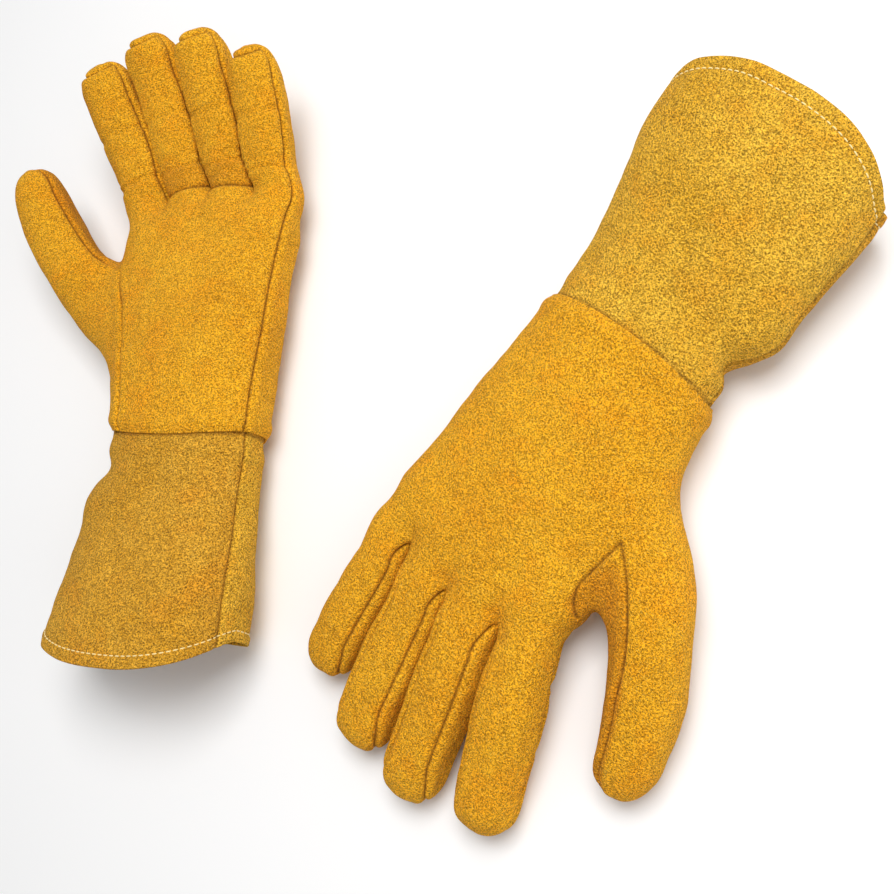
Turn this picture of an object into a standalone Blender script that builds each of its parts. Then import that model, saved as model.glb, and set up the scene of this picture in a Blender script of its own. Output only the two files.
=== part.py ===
"""A pair of long-cuffed suede welding gloves, laid on a flat surface.

The right glove lies back up and the left glove lies palm up. Each one is sewn from separate leather
pieces round a fabric lining: a back and a palm panel, a back and a front for each finger, gussets
(fourchettes) between the fingers, a two-piece thumb and a two-piece gauntlet cuff.

Metres, +Z up. In a glove's own frame +Y runs from the wrist to the fingers, the thumb is at -X and
the back of the hand is at +Z. The left glove is the same pattern mirrored through Z.
"""
import math

import bmesh
import bpy
from mathutils import Matrix, Vector

# ---- driving dimensions -------------------------------------------------------------------------
LEATHER = 0.0013          # thickness of the split leather
LINING = 0.0012           # thickness of the fabric lining
LINING_GAP = 0.0007       # air between leather and lining
SEAM = 0.00025            # half the gap left at a seam between two pieces
JOINT_GAP = 0.0035        # gap between a finger and the hand at the knuckle

WRIST = (0.047, 0.026)    # half width and half thickness of the hand where the cuff begins
HEM = (0.057, 0.036)      # the same at the cuff's open end
CUFF_LENGTH = 0.100       # wrist to hem along the side seams
HEM_DROP = 0.018          # how much further the hem reaches in the middle of each panel
CUFF_LAP = 0.008          # how far the cuff runs up inside the hand
LAP_CLEARANCE = 0.0027    # radial room between the cuff's lap and the hand
CUFF_X = 0.001            # middle of the wrist and the cuff, across the glove
FLARE_START = -0.006      # where the cuff starts to widen towards the hem
FLARE_ROWS = (0.16, 0.4, 0.7, 1)      # the flare's sections, as shares of the cuff's length
THREAD_ROWS = (0.93, 0.945)           # where the hem's stitching runs, as shares of the same
THREAD_SKIN = (0.0004, 0.001)         # its near and far face, inside the leather's inner face
LINING_SETBACK = 0.004    # how far the hand's lining starts beyond the cuff's end

KNUCKLE_Y = 0.128         # wrist to the middle of the knuckle line
KNUCKLE_X = -0.003        # where the knuckle line reaches furthest
KNUCKLE_BOW = 3.9         # how fast the knuckle line falls away to both sides, in 1/m
HAND_ROUND = 2.4          # superellipse power of the hand's and the cuff's section
FINGER_ROUND = 2.3        # superellipse power of a finger's section

ROUND_STEPS = 7           # facets over each half of the hand and cuff; odd, so one lies flat
FINGER_STEPS = 5          # facets over each half of a finger
FLAT = math.sin(math.pi / 2 - math.pi / (2 * ROUND_STEPS)) ** (2 / HAND_ROUND)
TIP_START = 0.74          # share of a finger's length where its rounded tip begins
BASE_SHARE = 0.9          # a finger's width at the knuckle against its width further out
FINGER_SECTIONS = 6       # rows of facets along a finger
THUMB_SECTIONS = 7        # rows of facets along the thumb
TIP_TAPER = 0.45          # how much narrower the very tip is
TIP_CLOSING = 0.97        # how nearly the back and front skins meet at the very tip
TIP_ROUND = 2.6           # how late and how bluntly the tip rounds off
FOURCHETTE_ANGLE = math.radians(20)   # half the arc of a finger that its gusset covers

# hand sections: distance from the wrist, centre x, half width, half thickness, thumb opening angle
HAND_ROWS = (
    (0.000, 0.001, 0.0470, 0.0260, 0),
    (0.020, -0.001, 0.0500, 0.0260, 0),
    (0.040, -0.004, 0.0540, 0.0252, 20),
    (0.055, -0.006, 0.0560, 0.0245, 36),
    (0.080, -0.006, 0.0560, 0.0225, 36),
    (0.096, -0.005, 0.0560, 0.0215, 28),
    (0.112, -0.004, 0.0560, 0.0190, 0),
    (0.128, -0.003, 0.0555, 0.0170, 0),
)

# fingers: knuckle x, half width, half thickness, length, gusset sides (-1 thumb side, 1 far side)
FINGERS = {
    "index": (-0.0430, 0.0144, 0.0135, 0.098, (1,)),
    "middle": (-0.0155, 0.0145, 0.0138, 0.104, (-1, 1)),
    "ring": (0.0117, 0.0142, 0.0136, 0.101, (-1, 1)),
    "little": (0.0382, 0.0133, 0.0129, 0.092, (-1,)),
}
THUMB = {"x": -0.0600, "y": 0.068, "half_width": 0.0150, "half_thickness": 0.0145, "length": 0.112,
         "base_half_width": 0.0215, "base_turn": 88}

# each glove: side (+1 back up, -1 palm up), wrist place, turn, knuckle height, leans and curls
GLOVES = {
    "right": {
        "side": 1, "place": (0.13673, 0.01895), "turn": math.radians(145), "knuckle_height": 0.0270,
        "lean": {"index": 21, "middle": 14, "ring": 9, "little": 3},
        "curl": (4, 14), "thumb_lean": (54, 8), "thumb_curl": (1, 15),
    },
    "left": {
        "side": -1, "place": (-0.10927, -0.02105), "turn": 0.0, "knuckle_height": 0.0257,
        "lean": {"index": 19, "middle": 15, "ring": 11, "little": 6},
        "curl": (6, 38), "thumb_lean": (58, 12), "thumb_curl": (4, 26),
    },
}

COLORS = {  # base colour, roughness
    "hand_leather": ((0.80, 0.36, 0.02), 0.9),
    "cuff_leather": ((0.67, 0.38, 0.04), 0.95),
    "lining": ((0.85, 0.80, 0.68), 0.95),
    "thread": ((0.90, 0.80, 0.45), 0.7),
}


# ---- helpers ------------------------------------------------------------------------------------
def clear_scene():
    for item in list(bpy.data.objects):
        bpy.data.objects.remove(item, do_unlink=True)


def make_material(name):
    color, roughness = COLORS[name]
    material = bpy.data.materials.new(name)
    material.use_nodes = True
    shader = material.node_tree.nodes["Principled BSDF"]
    shader.inputs["Base Color"].default_value = (*color, 1)
    shader.inputs["Roughness"].default_value = roughness
    shader.inputs["Metallic"].default_value = 0
    return material


def smooth(value):
    """0 to 1 with level ends."""
    value = min(max(value, 0), 1)
    return value * value * (3 - 2 * value)


def mix(first, last, share):
    return first + (last - first) * share


def ring_point(section, angle, inset, power):
    """A point of a superellipse section, moved in by inset."""
    centre, across, up, half_width, half_thickness = section
    cosine, sine = math.cos(angle), math.sin(angle)
    x = math.copysign(abs(cosine) ** (2 / power), cosine) * max(half_width - inset, 0)
    z = math.copysign(abs(sine) ** (2 / power), sine) * max(half_thickness - inset, 0)
    return centre + across * x + up * z


def wall(name, outer, inner, around=False, capped=False):
    """One closed wall between an outer and an inner grid of points, both given as rows.

    around joins each row's last point to its first, and capped closes the last row.
    """
    mesh = bmesh.new()
    skins = [[[mesh.verts.new(point) for point in row] for row in grid] for grid in (outer, inner)]
    columns = len(outer[0])
    steps = columns if around else columns - 1

    def quad(*corners):
        mesh.faces.new(corners)

    def skin_quad(flip, *corners):
        """Two triangles, cut along the same diagonal on every skin, so that twisted ones nest."""
        for triangle in ((corners[0], corners[1], corners[2]), (corners[0], corners[2], corners[3])):
            quad(*(reversed(triangle) if flip else triangle))

    out, back = skins
    for i in range(steps):
        j = (i + 1) % columns
        quad(out[0][i], back[0][i], back[0][j], out[0][j])
        if not capped:
            quad(out[-1][i], out[-1][j], back[-1][j], back[-1][i])
    if not around:
        for k in range(len(out) - 1):
            quad(out[k][0], out[k + 1][0], back[k + 1][0], back[k][0])
            quad(out[k + 1][-1], out[k][-1], back[k][-1], back[k + 1][-1])
    for flip, skin in ((1, skins[1]), (0, skins[0])):
        for low, high in zip(skin, skin[1:]):
            for i in range(steps):
                j = (i + 1) % columns
                skin_quad(flip, low[i], low[j], high[j], high[i])
        if capped:
            cap = skin[-1]
            quad(*(reversed(cap) if flip else cap))
    if mesh.calc_volume(signed=True) < 0:
        bmesh.ops.reverse_faces(mesh, faces=mesh.faces)
    data = bpy.data.meshes.new(name)
    mesh.to_mesh(data)
    mesh.free()
    return data


class Glove:
    """Builds one glove's pieces in its own frame and places them in the world."""

    def __init__(self, hand, spec, collection, materials):
        self.hand = hand
        self.spec = spec
        self.collection = collection
        self.materials = materials
        self.side = spec["side"]
        turn = Matrix.Rotation(spec["turn"], 4, "Z")
        place = Matrix.Translation((*spec["place"], 0))
        self.matrix = place @ turn @ Matrix.Diagonal((1, 1, self.side, 1))
        self.pivots = {}

    def pivot(self, name, point):
        """An empty on a joint's axis, which the moving pieces hang from."""
        empty = bpy.data.objects.new(f"{self.hand}_{name}_pivot", None)
        empty.empty_display_size = 0.01
        empty.location = self.matrix @ Vector(point)
        self.collection.objects.link(empty)
        self.pivots[name] = empty

    def add(self, piece, data, slot, pivot=None):
        """Put a mesh of the glove's frame into the world as a named sub-part."""
        data.transform(self.matrix)
        if self.side < 0:
            data.flip_normals()
        data.materials.append(self.materials[slot])
        item = bpy.data.objects.new(f"{self.hand}_{piece}", data)
        self.collection.objects.link(item)
        if pivot:
            parent = self.pivots[pivot]
            data.transform(Matrix.Translation(-parent.location))
            item.parent = parent

    # -- sections --
    def knuckle_line(self, x):
        """Distance from the wrist to the knuckle line at this x."""
        return KNUCKLE_Y - KNUCKLE_BOW * (x - KNUCKLE_X) ** 2

    def height(self, share):
        """Height of the hand's middle above the surface, from wrist (0) to knuckles (1)."""
        return mix(WRIST[1] * FLAT + SEAM, self.spec["knuckle_height"], smooth(share))

    def hand_grid(self, inset, angles_of):
        rows = []
        for y, x, half_width, half_thickness, opening in HAND_ROWS:
            share = y / KNUCKLE_Y
            middle = Vector((x, 0, self.side * self.height(share)))
            section = (middle, Vector((1, 0, 0)), Vector((0, 0, 1)), half_width, half_thickness)
            row = []
            for angle in angles_of(math.radians(opening)):
                point = ring_point(section, angle, inset, HAND_ROUND)
                reach = self.knuckle_line(point.x) - JOINT_GAP / 2
                point.y = reach * share
                row.append(point)
            rows.append(row)
        return rows

    def limb_sections(self, base, leans, curls, base_turn, widths, length, count):
        """Sections along a finger or thumb: a bent centre line with a rounded end.

        base_turn is how far the first section is turned from square to the centre line.
        """
        half_width, half_thickness, base_width = widths
        point = Vector(base)
        sections = []
        last = 0.0
        for k in range(count + 1):
            share = math.sin(math.pi / 2 * k / count) ** 1.15
            middle = (share + last) / 2
            lean = math.radians(mix(*leans, middle))
            curl = math.radians(mix(*curls, middle))
            point = point + (share - last) * length * Vector((
                -math.sin(lean) * math.cos(curl), math.cos(lean) * math.cos(curl), -math.sin(curl)))
            last = share
            lean = math.radians(mix(*leans, share))
            curl = math.radians(mix(*curls, share))
            turned = lean + base_turn * (1 - smooth(share / 0.45))
            across = Vector((math.cos(turned), math.sin(turned), 0))
            ahead = Vector((
                -math.sin(lean) * math.cos(curl), math.cos(lean) * math.cos(curl), -math.sin(curl)))
            up = across.cross(ahead).normalized()
            end = max((share - TIP_START) / (1 - TIP_START), 0)
            wide = mix(base_width, half_width, smooth(share / 0.5)) * (1 - TIP_TAPER * end ** TIP_ROUND)
            thick = half_thickness * math.sqrt(1 - TIP_CLOSING * end ** TIP_ROUND)
            sections.append((point.copy(), across, up, wide, thick, ahead))
        return sections

    def limb_grid(self, sections, inset, angles_of, shift):
        """Rows of points on a limb. The inner skin stops short of the tip by its inset."""
        rows = []
        last = len(sections) - 1
        for k, (point, across, up, wide, thick, ahead) in enumerate(sections):
            back = inset * smooth((k - last + 2) / 2)
            section = (point - ahead * back, across, up, wide, thick)
            row = []
            for angle in angles_of(k, last):
                row.append(ring_point(section, angle, inset, FINGER_ROUND) + up * shift)
            rows.append(row)
        return rows

    # -- pieces --
    def build_hand(self):
        def half(sign):
            def angles_of(opening):
                last = math.pi - opening
                return [sign * last * i / ROUND_STEPS for i in range(ROUND_STEPS + 1)]
            return angles_of

        lined = LEATHER + LINING_GAP
        leather = ((0, LEATHER), 0, "hand_leather")
        lining = ((lined, lined + LINING), CUFF_LAP + LINING_SETBACK, "lining")
        for piece, sign, (insets, setback, slot) in (
            ("hand_back_panel", 1, leather),
            ("palm_panel", -1, leather),
            ("hand_back_lining", 1, lining),
            ("palm_lining", -1, lining),
        ):
            grids = [self.hand_grid(inset, half(sign)) for inset in insets]
            for grid in grids:
                for point in (point for row in grid for point in row):
                    point.z += sign * SEAM
                for point in grid[0]:
                    point.y += setback
            self.add(piece, wall(piece, *grids), slot)

    def build_limb(self, name, sections, gussets, pivot):
        """A back and a front leather half, the gussets between, and the lining inside."""
        def limits(side, k, last):
            """Angle left free at one side: a gusset's half arc, tapering away at the tip."""
            if side not in gussets:
                return 0
            return FOURCHETTE_ANGLE * (1, 0.45, 0)[max(0, min(2, k - last + 2))]

        def half(sign):
            def angles_of(k, last):
                first = limits(1, k, last)
                final = math.pi - limits(-1, k, last)
                return [sign * mix(first, final, i / FINGER_STEPS) for i in range(FINGER_STEPS + 1)]
            return angles_of

        for piece, sign in ((f"{name}_back", 1), (f"{name}_front", -1)):
            grids = [self.limb_grid(sections, inset, half(sign), sign * SEAM)
                     for inset in (0, LEATHER)]
            self.add(piece, wall(piece, *grids), "hand_leather", pivot)

        for side in gussets:
            def strip(k, last):
                free = limits(side, k, last)
                middle = 0 if side > 0 else math.pi
                return [middle + free, middle - free]
            piece = f"{name}_fourchette"
            if len(gussets) > 1:
                piece += "_inner" if side < 0 else "_outer"
            grids = [self.limb_grid(sections, inset, strip, 0)[:-1] for inset in (0, LEATHER)]
            self.add(piece, wall(piece, *grids), "hand_leather", pivot)

        def around(k, last):
            steps = 2 * FINGER_STEPS
            return [math.pi * 2 * i / steps for i in range(steps)]
        inset = LEATHER + LINING_GAP + SEAM
        grids = [self.limb_grid(sections, inset + extra, around, 0)[:-1]
                 for extra in (0, LINING)]
        piece = f"{name}_lining"
        self.add(piece, wall(piece, *grids, around=True, capped=True), "lining", pivot)

    def build_fingers(self):
        for name, (x, half_width, half_thickness, length, gussets) in FINGERS.items():
            lean = self.spec["lean"][name]
            slope = -2 * KNUCKLE_BOW * (x - KNUCKLE_X)
            base_turn = math.atan(slope) - math.radians(lean)
            height = self.side * self.spec["knuckle_height"]
            knuckle = Vector((x, self.knuckle_line(x), height))
            self.pivot(name, knuckle - Vector((0, 0, half_thickness)))
            start = knuckle + Vector((0, JOINT_GAP / 2, 0))
            widths = (half_width, half_thickness, half_width * BASE_SHARE)
            sections = self.limb_sections(
                start, (lean, lean), self.spec["curl"], base_turn, widths,
                length - JOINT_GAP / 2, FINGER_SECTIONS)
            self.build_limb(name, sections, gussets, name)

    def build_thumb(self):
        leans = self.spec["thumb_lean"]
        height = self.side * self.height(THUMB["y"] / KNUCKLE_Y)
        base = Vector((THUMB["x"], THUMB["y"], height))
        self.pivot("thumb", base - Vector((0, 0, THUMB["half_thickness"])))
        base_turn = math.radians(THUMB["base_turn"] - leans[0])
        widths = (THUMB["half_width"], THUMB["half_thickness"], THUMB["base_half_width"])
        sections = self.limb_sections(
            base, leans, self.spec["thumb_curl"], base_turn, widths, THUMB["length"],
            THUMB_SECTIONS)
        self.build_limb("thumb", sections, (), "thumb")

    def cuff_rows(self):
        """Cuff sections from inside the hand to the hem: y, half width, half thickness."""
        narrow = (WRIST[0] - LEATHER - LAP_CLEARANCE, WRIST[1] - LEATHER - LAP_CLEARANCE)
        yield CUFF_LAP, *narrow
        yield FLARE_START, *narrow
        for share in FLARE_ROWS:
            flare = smooth(share) * 0.6 + share * 0.4
            yield -CUFF_LENGTH * share, mix(WRIST[0], HEM[0], flare), mix(WRIST[1], HEM[1], flare)

    def cuff_grid(self, inset, sign):
        rows = []
        for y, half_width, half_thickness in self.cuff_rows():
            lift = WRIST[1] if y >= FLARE_START else half_thickness
            middle = Vector((CUFF_X, 0, self.side * lift * FLAT))
            section = (middle, Vector((1, 0, 0)), Vector((0, 0, 1)), half_width, half_thickness)
            row = []
            for i in range(ROUND_STEPS + 1):
                angle = sign * math.pi * i / ROUND_STEPS
                point = ring_point(section, angle, inset, HAND_ROUND)
                drop = HEM_DROP * abs(math.sin(angle)) ** 1.2
                point.y = y if y > 0 else y * (1 + drop / CUFF_LENGTH)
                row.append(point)
            rows.append(row)
        return rows

    def build_cuff(self):
        self.pivot("cuff", (CUFF_X, 0, self.side * 2 * WRIST[1] * FLAT))
        for piece, sign in (("cuff_back", 1), ("cuff_front", -1)):
            grids = [self.cuff_grid(inset, sign) for inset in (0, LEATHER)]
            for grid in grids:
                for row in grid:
                    row[0].z += sign * SEAM
                    row[-1].z += sign * SEAM
            self.add(piece, wall(piece, *grids), "cuff_leather", "cuff")
        self.build_hem_thread()

    def build_hem_thread(self):
        """The hem's stitching, a thin band along the inside face, a little up from the edge."""
        before = FLARE_ROWS[-2]
        grids = []
        for skin in THREAD_SKIN:
            back = self.cuff_grid(LEATHER + skin, 1)[-2:]
            front = self.cuff_grid(LEATHER + skin, -1)[-2:]
            rows = []
            for share in THREAD_ROWS:
                blend = (share - before) / (1 - before)
                over = [low.lerp(high, blend) for low, high in zip(*back)]
                under = [low.lerp(high, blend) for low, high in zip(*front)]
                rows.append(over + under[-2:0:-1])
            grids.append(rows)
        self.add("hem_thread", wall("hem_thread", *grids, around=True), "thread", "cuff")


def build():
    clear_scene()
    collection = bpy.data.collections.new("welding_gloves")
    bpy.context.scene.collection.children.link(collection)
    materials = {name: make_material(name) for name in COLORS}
    for hand, spec in GLOVES.items():
        glove = Glove(hand, spec, collection, materials)
        glove.build_hand()
        glove.build_fingers()
        glove.build_thumb()
        glove.build_cuff()


build()
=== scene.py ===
"""The pair of suede welding gloves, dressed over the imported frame.

Each glove's hand, fingers and thumb are one leather skin, made from a smooth union of swept limbs in a
spread pose and then laid along the frame's fingers. The cuff is a separate flared sleeve that goes in
under the hand leather. Lengths are in metres. In a glove's own frame +Y runs from the wrist to the
fingers, the thumb is at -X and the back of the hand is at +Z; the left glove is mirrored through Z.
"""
import math

import bmesh
import bpy
import numpy as np
from mathutils import Matrix, Vector, noise
from mathutils.kdtree import KDTree


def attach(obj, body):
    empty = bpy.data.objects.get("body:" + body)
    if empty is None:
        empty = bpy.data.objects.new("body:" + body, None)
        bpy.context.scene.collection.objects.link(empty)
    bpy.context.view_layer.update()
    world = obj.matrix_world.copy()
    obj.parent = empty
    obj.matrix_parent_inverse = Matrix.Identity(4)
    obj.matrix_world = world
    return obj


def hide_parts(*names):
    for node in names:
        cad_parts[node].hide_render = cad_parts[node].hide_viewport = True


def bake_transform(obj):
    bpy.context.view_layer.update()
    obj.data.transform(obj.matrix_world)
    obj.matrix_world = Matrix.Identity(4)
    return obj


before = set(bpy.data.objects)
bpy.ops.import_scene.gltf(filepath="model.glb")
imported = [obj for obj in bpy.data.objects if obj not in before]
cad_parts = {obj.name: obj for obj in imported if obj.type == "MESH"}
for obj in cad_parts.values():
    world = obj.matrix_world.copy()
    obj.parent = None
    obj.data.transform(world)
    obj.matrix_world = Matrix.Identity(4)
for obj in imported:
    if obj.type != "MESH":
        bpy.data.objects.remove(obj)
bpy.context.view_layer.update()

# ---- dimensions ----
LEATHER = 0.0013
VOXEL = 0.00105           # grain of the skin mesh
FORM_INSET = 0.0015       # how much thinner the remeshed tubes are than the form they are moved onto
HAND_ROUND = 2.4          # superellipse power of the hand's section
FINGER_ROUND = 2.25       # superellipse power of a finger's section
TIP_ROUND = 2.6           # how squarely a finger's end closes
KNUCKLE_Y = 0.128         # the knuckle line, from the wrist
KNUCKLE_BOW = 3.9         # how strongly that line curves back towards its ends
WRIST_HEIGHT = 0.0257     # of the hand's middle at the wrist
WRIST_START = -0.014      # the hand's form runs this far past the wrist before it is cut off
BASE_SHARE = 0.87         # a finger's width at the knuckle against its width further out
CUT = 0.007               # where a finger's own skin begins, from the knuckle
BEND_END = 0.030          # where it follows the finger wholly
THUMB_CUT = 0.012         # where the thumb's own skin begins, from its joint
HEM_STITCH = 0.0048       # the hem's stitches, from the edge
STITCH = 0.0034           # one stitch's share of the hem
LINING_INSET = 0.0028     # from the leather's outer face to the lining's
WRIST_LIP = ((0.0004, -0.0004), (0.0010, -0.0004), (0.0014, 0.0), (0.0014, 0.006), (0.0016, 0.016))
CUFF_AROUND = 260         # points round the cuff
CUFF_ROWS = 72            # rows along most of it
CUFF_SEAM = -0.28         # where the little finger's side seam runs round the cuff
FRONT_DARK = 0.7          # how much browner the cuff's palm side panel is than its back panel
CAMERA_TILT = 28          # degrees off straight down
CAMERA_TOWARDS = -23      # the way it tilts, from +X
CAMERA_ROLL = 6
CAMERA_ANGLE = 42.5
CAMERA_FAR = 0.563
CAMERA_TARGET = (0.0455, -0.025, 0.02)

# hand sections: distance from the wrist, centre x, half width, half thickness
HAND_ROWS = np.array((
    (-0.020, 0.0015, 0.0480, 0.0262),
    (0.000, 0.0010, 0.0480, 0.0262),
    (0.020, -0.0010, 0.0500, 0.0258),
    (0.040, -0.0030, 0.0530, 0.0250),
    (0.055, -0.0040, 0.0550, 0.0242),
    (0.080, -0.0045, 0.0560, 0.0222),
    (0.100, -0.0040, 0.0565, 0.0200),
    (0.115, -0.0035, 0.0562, 0.0180),
    (0.128, -0.0030, 0.0555, 0.0162),
    (0.140, -0.0030, 0.0545, 0.0150),
))

# fingers: knuckle x, half width, half thickness, length, lean in the spread pose
FINGERS = {
    "index": (-0.0430, 0.0157, 0.0145, 0.100, 26),
    "middle": (-0.0155, 0.0160, 0.0148, 0.106, 13),
    "ring": (0.0117, 0.0157, 0.0146, 0.103, 1),
    "little": (0.0382, 0.0147, 0.0136, 0.094, -11),
}
THUMB = {"x": -0.0600, "y": 0.068, "half_width": 0.0178, "half_thickness": 0.0158, "length": 0.110}
WEB = np.array(((-0.0570, 0.0695), (-0.0525, 0.0955)))   # the back's edge, from the thumb's seam on
THUMB_ROOT = 0.042        # how far the thumb's form runs back into the palm

GLOVES = {
    "right": {
        "side": 1, "place": (0.13673, 0.01895), "turn": 145, "knuckle_height": 0.0270,
        "lean": {"index": 21, "middle": 14, "ring": 9, "little": 3},
        "curl": (4, 14), "thumb_lean": (54, 8), "thumb_curl": (1, 15),
    },
    "left": {
        "side": -1, "place": (-0.10927, -0.02105), "turn": 0, "knuckle_height": 0.0257,
        "lean": {"index": 19, "middle": 15, "ring": 11, "little": 6},
        "curl": (6, 38), "thumb_lean": (58, 12), "thumb_curl": (4, 26),
    },
}
SPREAD_THUMB_LEAN = (56, 10)

CUFF_LENGTH = 0.100       # from the wrist to the hem at the cuff's sides, before the hem's own curve
CUFF_LAP = 0.008          # how far the cuff goes in under the hand leather
CUFF_X = 0.001            # its middle
HEM_DROP = 0.018          # how far the hem curves past CUFF_LENGTH
CUFF_WRIST = (0.0452, 0.0238)   # half width and half thickness at the wrist
HEM = (0.0570, 0.0360)          # and at the hem


# ---- small maths ----
def smooth(value):
    value = np.clip(value, 0, 1)
    return value * value * (3 - 2 * value)


def mix(first, last, share):
    return first + (last - first) * share


def smooth_min(first, second, width):
    share = np.clip(0.5 + 0.5 * (second - first) / width, 0, 1)
    return mix(second, first, share) - width * share * (1 - share)


def bell(value, width):
    """1 where the value is 0, falling away to nothing past a few widths."""
    return np.exp(-(value / width) ** 2)


def unit(vectors):
    return vectors / np.maximum(np.linalg.norm(vectors, axis=-1, keepdims=True), 1e-12)


def rounded(angle, power):
    """The unit superellipse at each angle round it."""
    x, z = np.cos(angle), np.sin(angle)
    return np.sign(x) * np.abs(x) ** (2 / power), np.sign(z) * np.abs(z) ** (2 / power)


def lump(points, scale, seed, octaves=2):
    """Smooth noise from -1 to 1 at each point; scale is the lump's size."""
    out = np.empty(len(points))
    shift = Vector((seed * 3.7, seed * 1.9, seed * 5.3))
    for i, point in enumerate(points):
        place = Vector(point) / scale + shift
        out[i] = noise.fractal(place, 1.0, 2.0, octaves, noise_basis="PERLIN_ORIGINAL")
    return out


# ---- limbs ----
class Limb:
    """A finger or thumb: a bent centre line with frames and a half width and thickness along it."""

    STEP = 0.002

    def __init__(self, base, leans, curls, length, root, widths, base_width, end_round):
        count = int(round(length / self.STEP))
        back = int(round(root / self.STEP))
        self.s = np.arange(-back, count + 1) * self.STEP
        share = np.clip(self.s / length, 0, 1)
        lean = np.radians(mix(leans[0], leans[1], share))
        curl = np.radians(mix(curls[0], curls[1], share))
        self.ahead = np.stack(
            (-np.sin(lean) * np.cos(curl), np.cos(lean) * np.cos(curl), -np.sin(curl)), axis=1)
        across = np.stack((np.cos(lean), np.sin(lean), 0 * lean), axis=1)
        self.across = across
        self.up = np.cross(across, self.ahead)
        middle = (self.ahead[1:] + self.ahead[:-1]) / 2 * self.STEP
        points = np.concatenate((np.zeros((1, 3)), np.cumsum(middle, axis=0)))
        self.points = points - points[back] + np.array(base)
        self.length = length
        self.half_width, self.half_thickness = widths
        self.base_width = base_width
        self.end_round = end_round
        self.taper = 0.2 if base_width > self.half_width else 0.09

    def widths_at(self, s):
        swell = smooth(s / (0.5 * self.length))
        wide = mix(self.base_width, self.half_width, swell)
        thick = self.half_thickness * mix(0.97, 1.0, swell)
        taper = 1 - self.taper * smooth((s - 0.5 * self.length) / (0.5 * self.length))
        return wide * taper, thick * taper

    def coords(self, places):
        """Distance along, across and up from the centre line at each place."""
        gap = places[:, None, :] - self.points[None, :, :]
        nearest = np.einsum("ijk,ijk->ij", gap, gap).argmin(axis=1)
        off = places - self.points[nearest]
        ahead, across, up = self.ahead[nearest], self.across[nearest], self.up[nearest]
        s = self.s[nearest] + (off * ahead).sum(1)
        return s, (off * across).sum(1), (off * up).sum(1)

    def field(self, places):
        """Below 0 inside the limb; close to a distance near its surface."""
        s, x, z = self.coords(places)
        wide, thick = self.widths_at(s)
        ahead = np.maximum(s - (self.length - self.end_round), 0) / self.end_round
        behind = np.maximum(self.s[0] + 0.012 - s, 0) / 0.012
        ring = (np.abs(x) / wide) ** FINGER_ROUND + (np.abs(z) / thick) ** FINGER_ROUND + ahead ** TIP_ROUND
        return ((ring + behind ** 2) ** (1 / FINGER_ROUND) - 1) * thick

    def frame_at(self, s):
        """Centre, across and up at any distance along."""
        where = np.clip((s - self.s[0]) / self.STEP, 0, len(self.s) - 1.001)
        low = where.astype(int)
        share = (where - low)[:, None]
        out = [mix(part[low], part[low + 1], share) for part in (self.points, self.across, self.up)]
        beyond = (s - np.clip(s, self.s[0], self.s[-1]))[:, None]
        out[0] = out[0] + self.ahead[low] * beyond
        return out

    def place(self, s, x, z):
        centre, across, up = self.frame_at(s)
        return centre + across * x[:, None] + up * z[:, None]

    def ring(self, s, inset, least, sides=24):
        """Points round the section at one distance along; least keeps the very end from closing."""
        wide, thick = self.widths_at(np.array([s]))
        end = max(s - (self.length - self.end_round), 0) / self.end_round
        shrink = max(1 - end ** TIP_ROUND, least) ** (1 / FINGER_ROUND)
        x, z = rounded(np.arange(sides) * 2 * math.pi / sides, FINGER_ROUND)
        return self.place(np.full(sides, s), x * (wide - inset) * shrink, z * (thick - inset) * shrink)

    def tube(self, mesh):
        """Adds a plain closed tube of the limb to a bmesh, for the union's remesh."""
        last = self.length - 0.004
        stations = np.append(np.arange(self.s[0], last, 0.005), last)
        close_tube(mesh, [self.ring(s, FORM_INSET, 0.02) for s in stations])


def close_tube(mesh, rings):
    """Adds rings of points to a bmesh as one tube with closed ends."""
    rings = [[mesh.verts.new(point) for point in ring] for ring in rings]
    sides = len(rings[0])
    for low, high in zip(rings, rings[1:]):
        for i in range(sides):
            j = (i + 1) % sides
            mesh.faces.new((low[i], low[j], high[j], high[i]))
    mesh.faces.new(tuple(reversed(rings[0])))
    mesh.faces.new(tuple(rings[-1]))


# ---- the hand's form ----
def knuckle_line(x):
    """How far from the wrist the knuckle line is at each x."""
    return KNUCKLE_Y - KNUCKLE_BOW * (x + 0.003) ** 2


def hand_at(y):
    """The hand's centre x, half width and half thickness at each distance from the wrist."""
    return [np.interp(y, HAND_ROWS[:, 0], HAND_ROWS[:, i]) for i in (1, 2, 3)]


def hand_field(places):
    """Below 0 inside the hand, without its fingers and thumb."""
    x, y, z = places.T
    centre, wide, thick = hand_at(y)
    over = np.maximum(y - (knuckle_line(x) - 0.010), 0) / 0.017
    ring = (np.abs(x - centre) / wide) ** HAND_ROUND + (np.abs(z) / thick) ** HAND_ROUND + over ** 2.5
    return (ring ** (1 / HAND_ROUND) - 1) * thick


def hand_ring(y, inset, sides):
    """x and z round the hand's section at one distance from the wrist."""
    centre, wide, thick = hand_at(y)
    x, z = rounded(np.arange(sides) * 2 * math.pi / sides, HAND_ROUND)
    return centre + x * (wide - inset), z * (thick - inset)


def hand_tube(mesh):
    """Adds the hand's plain closed tube to a bmesh, its far end shaped to the knuckle line."""
    rings = []
    for y in np.append(np.arange(WRIST_START, 0.120, 0.006), 0.121):
        x, z = hand_ring(y, FORM_INSET, 64)
        along = np.where(y > 0.1, (y - 0.1) * (knuckle_line(x) - 0.1) / 0.028 + 0.1, y)
        rings.append(zip(x, along, z))
    close_tube(mesh, rings)


def finger_base(name):
    x = FINGERS[name][0]
    return (x, knuckle_line(x), 0.0)


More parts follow.
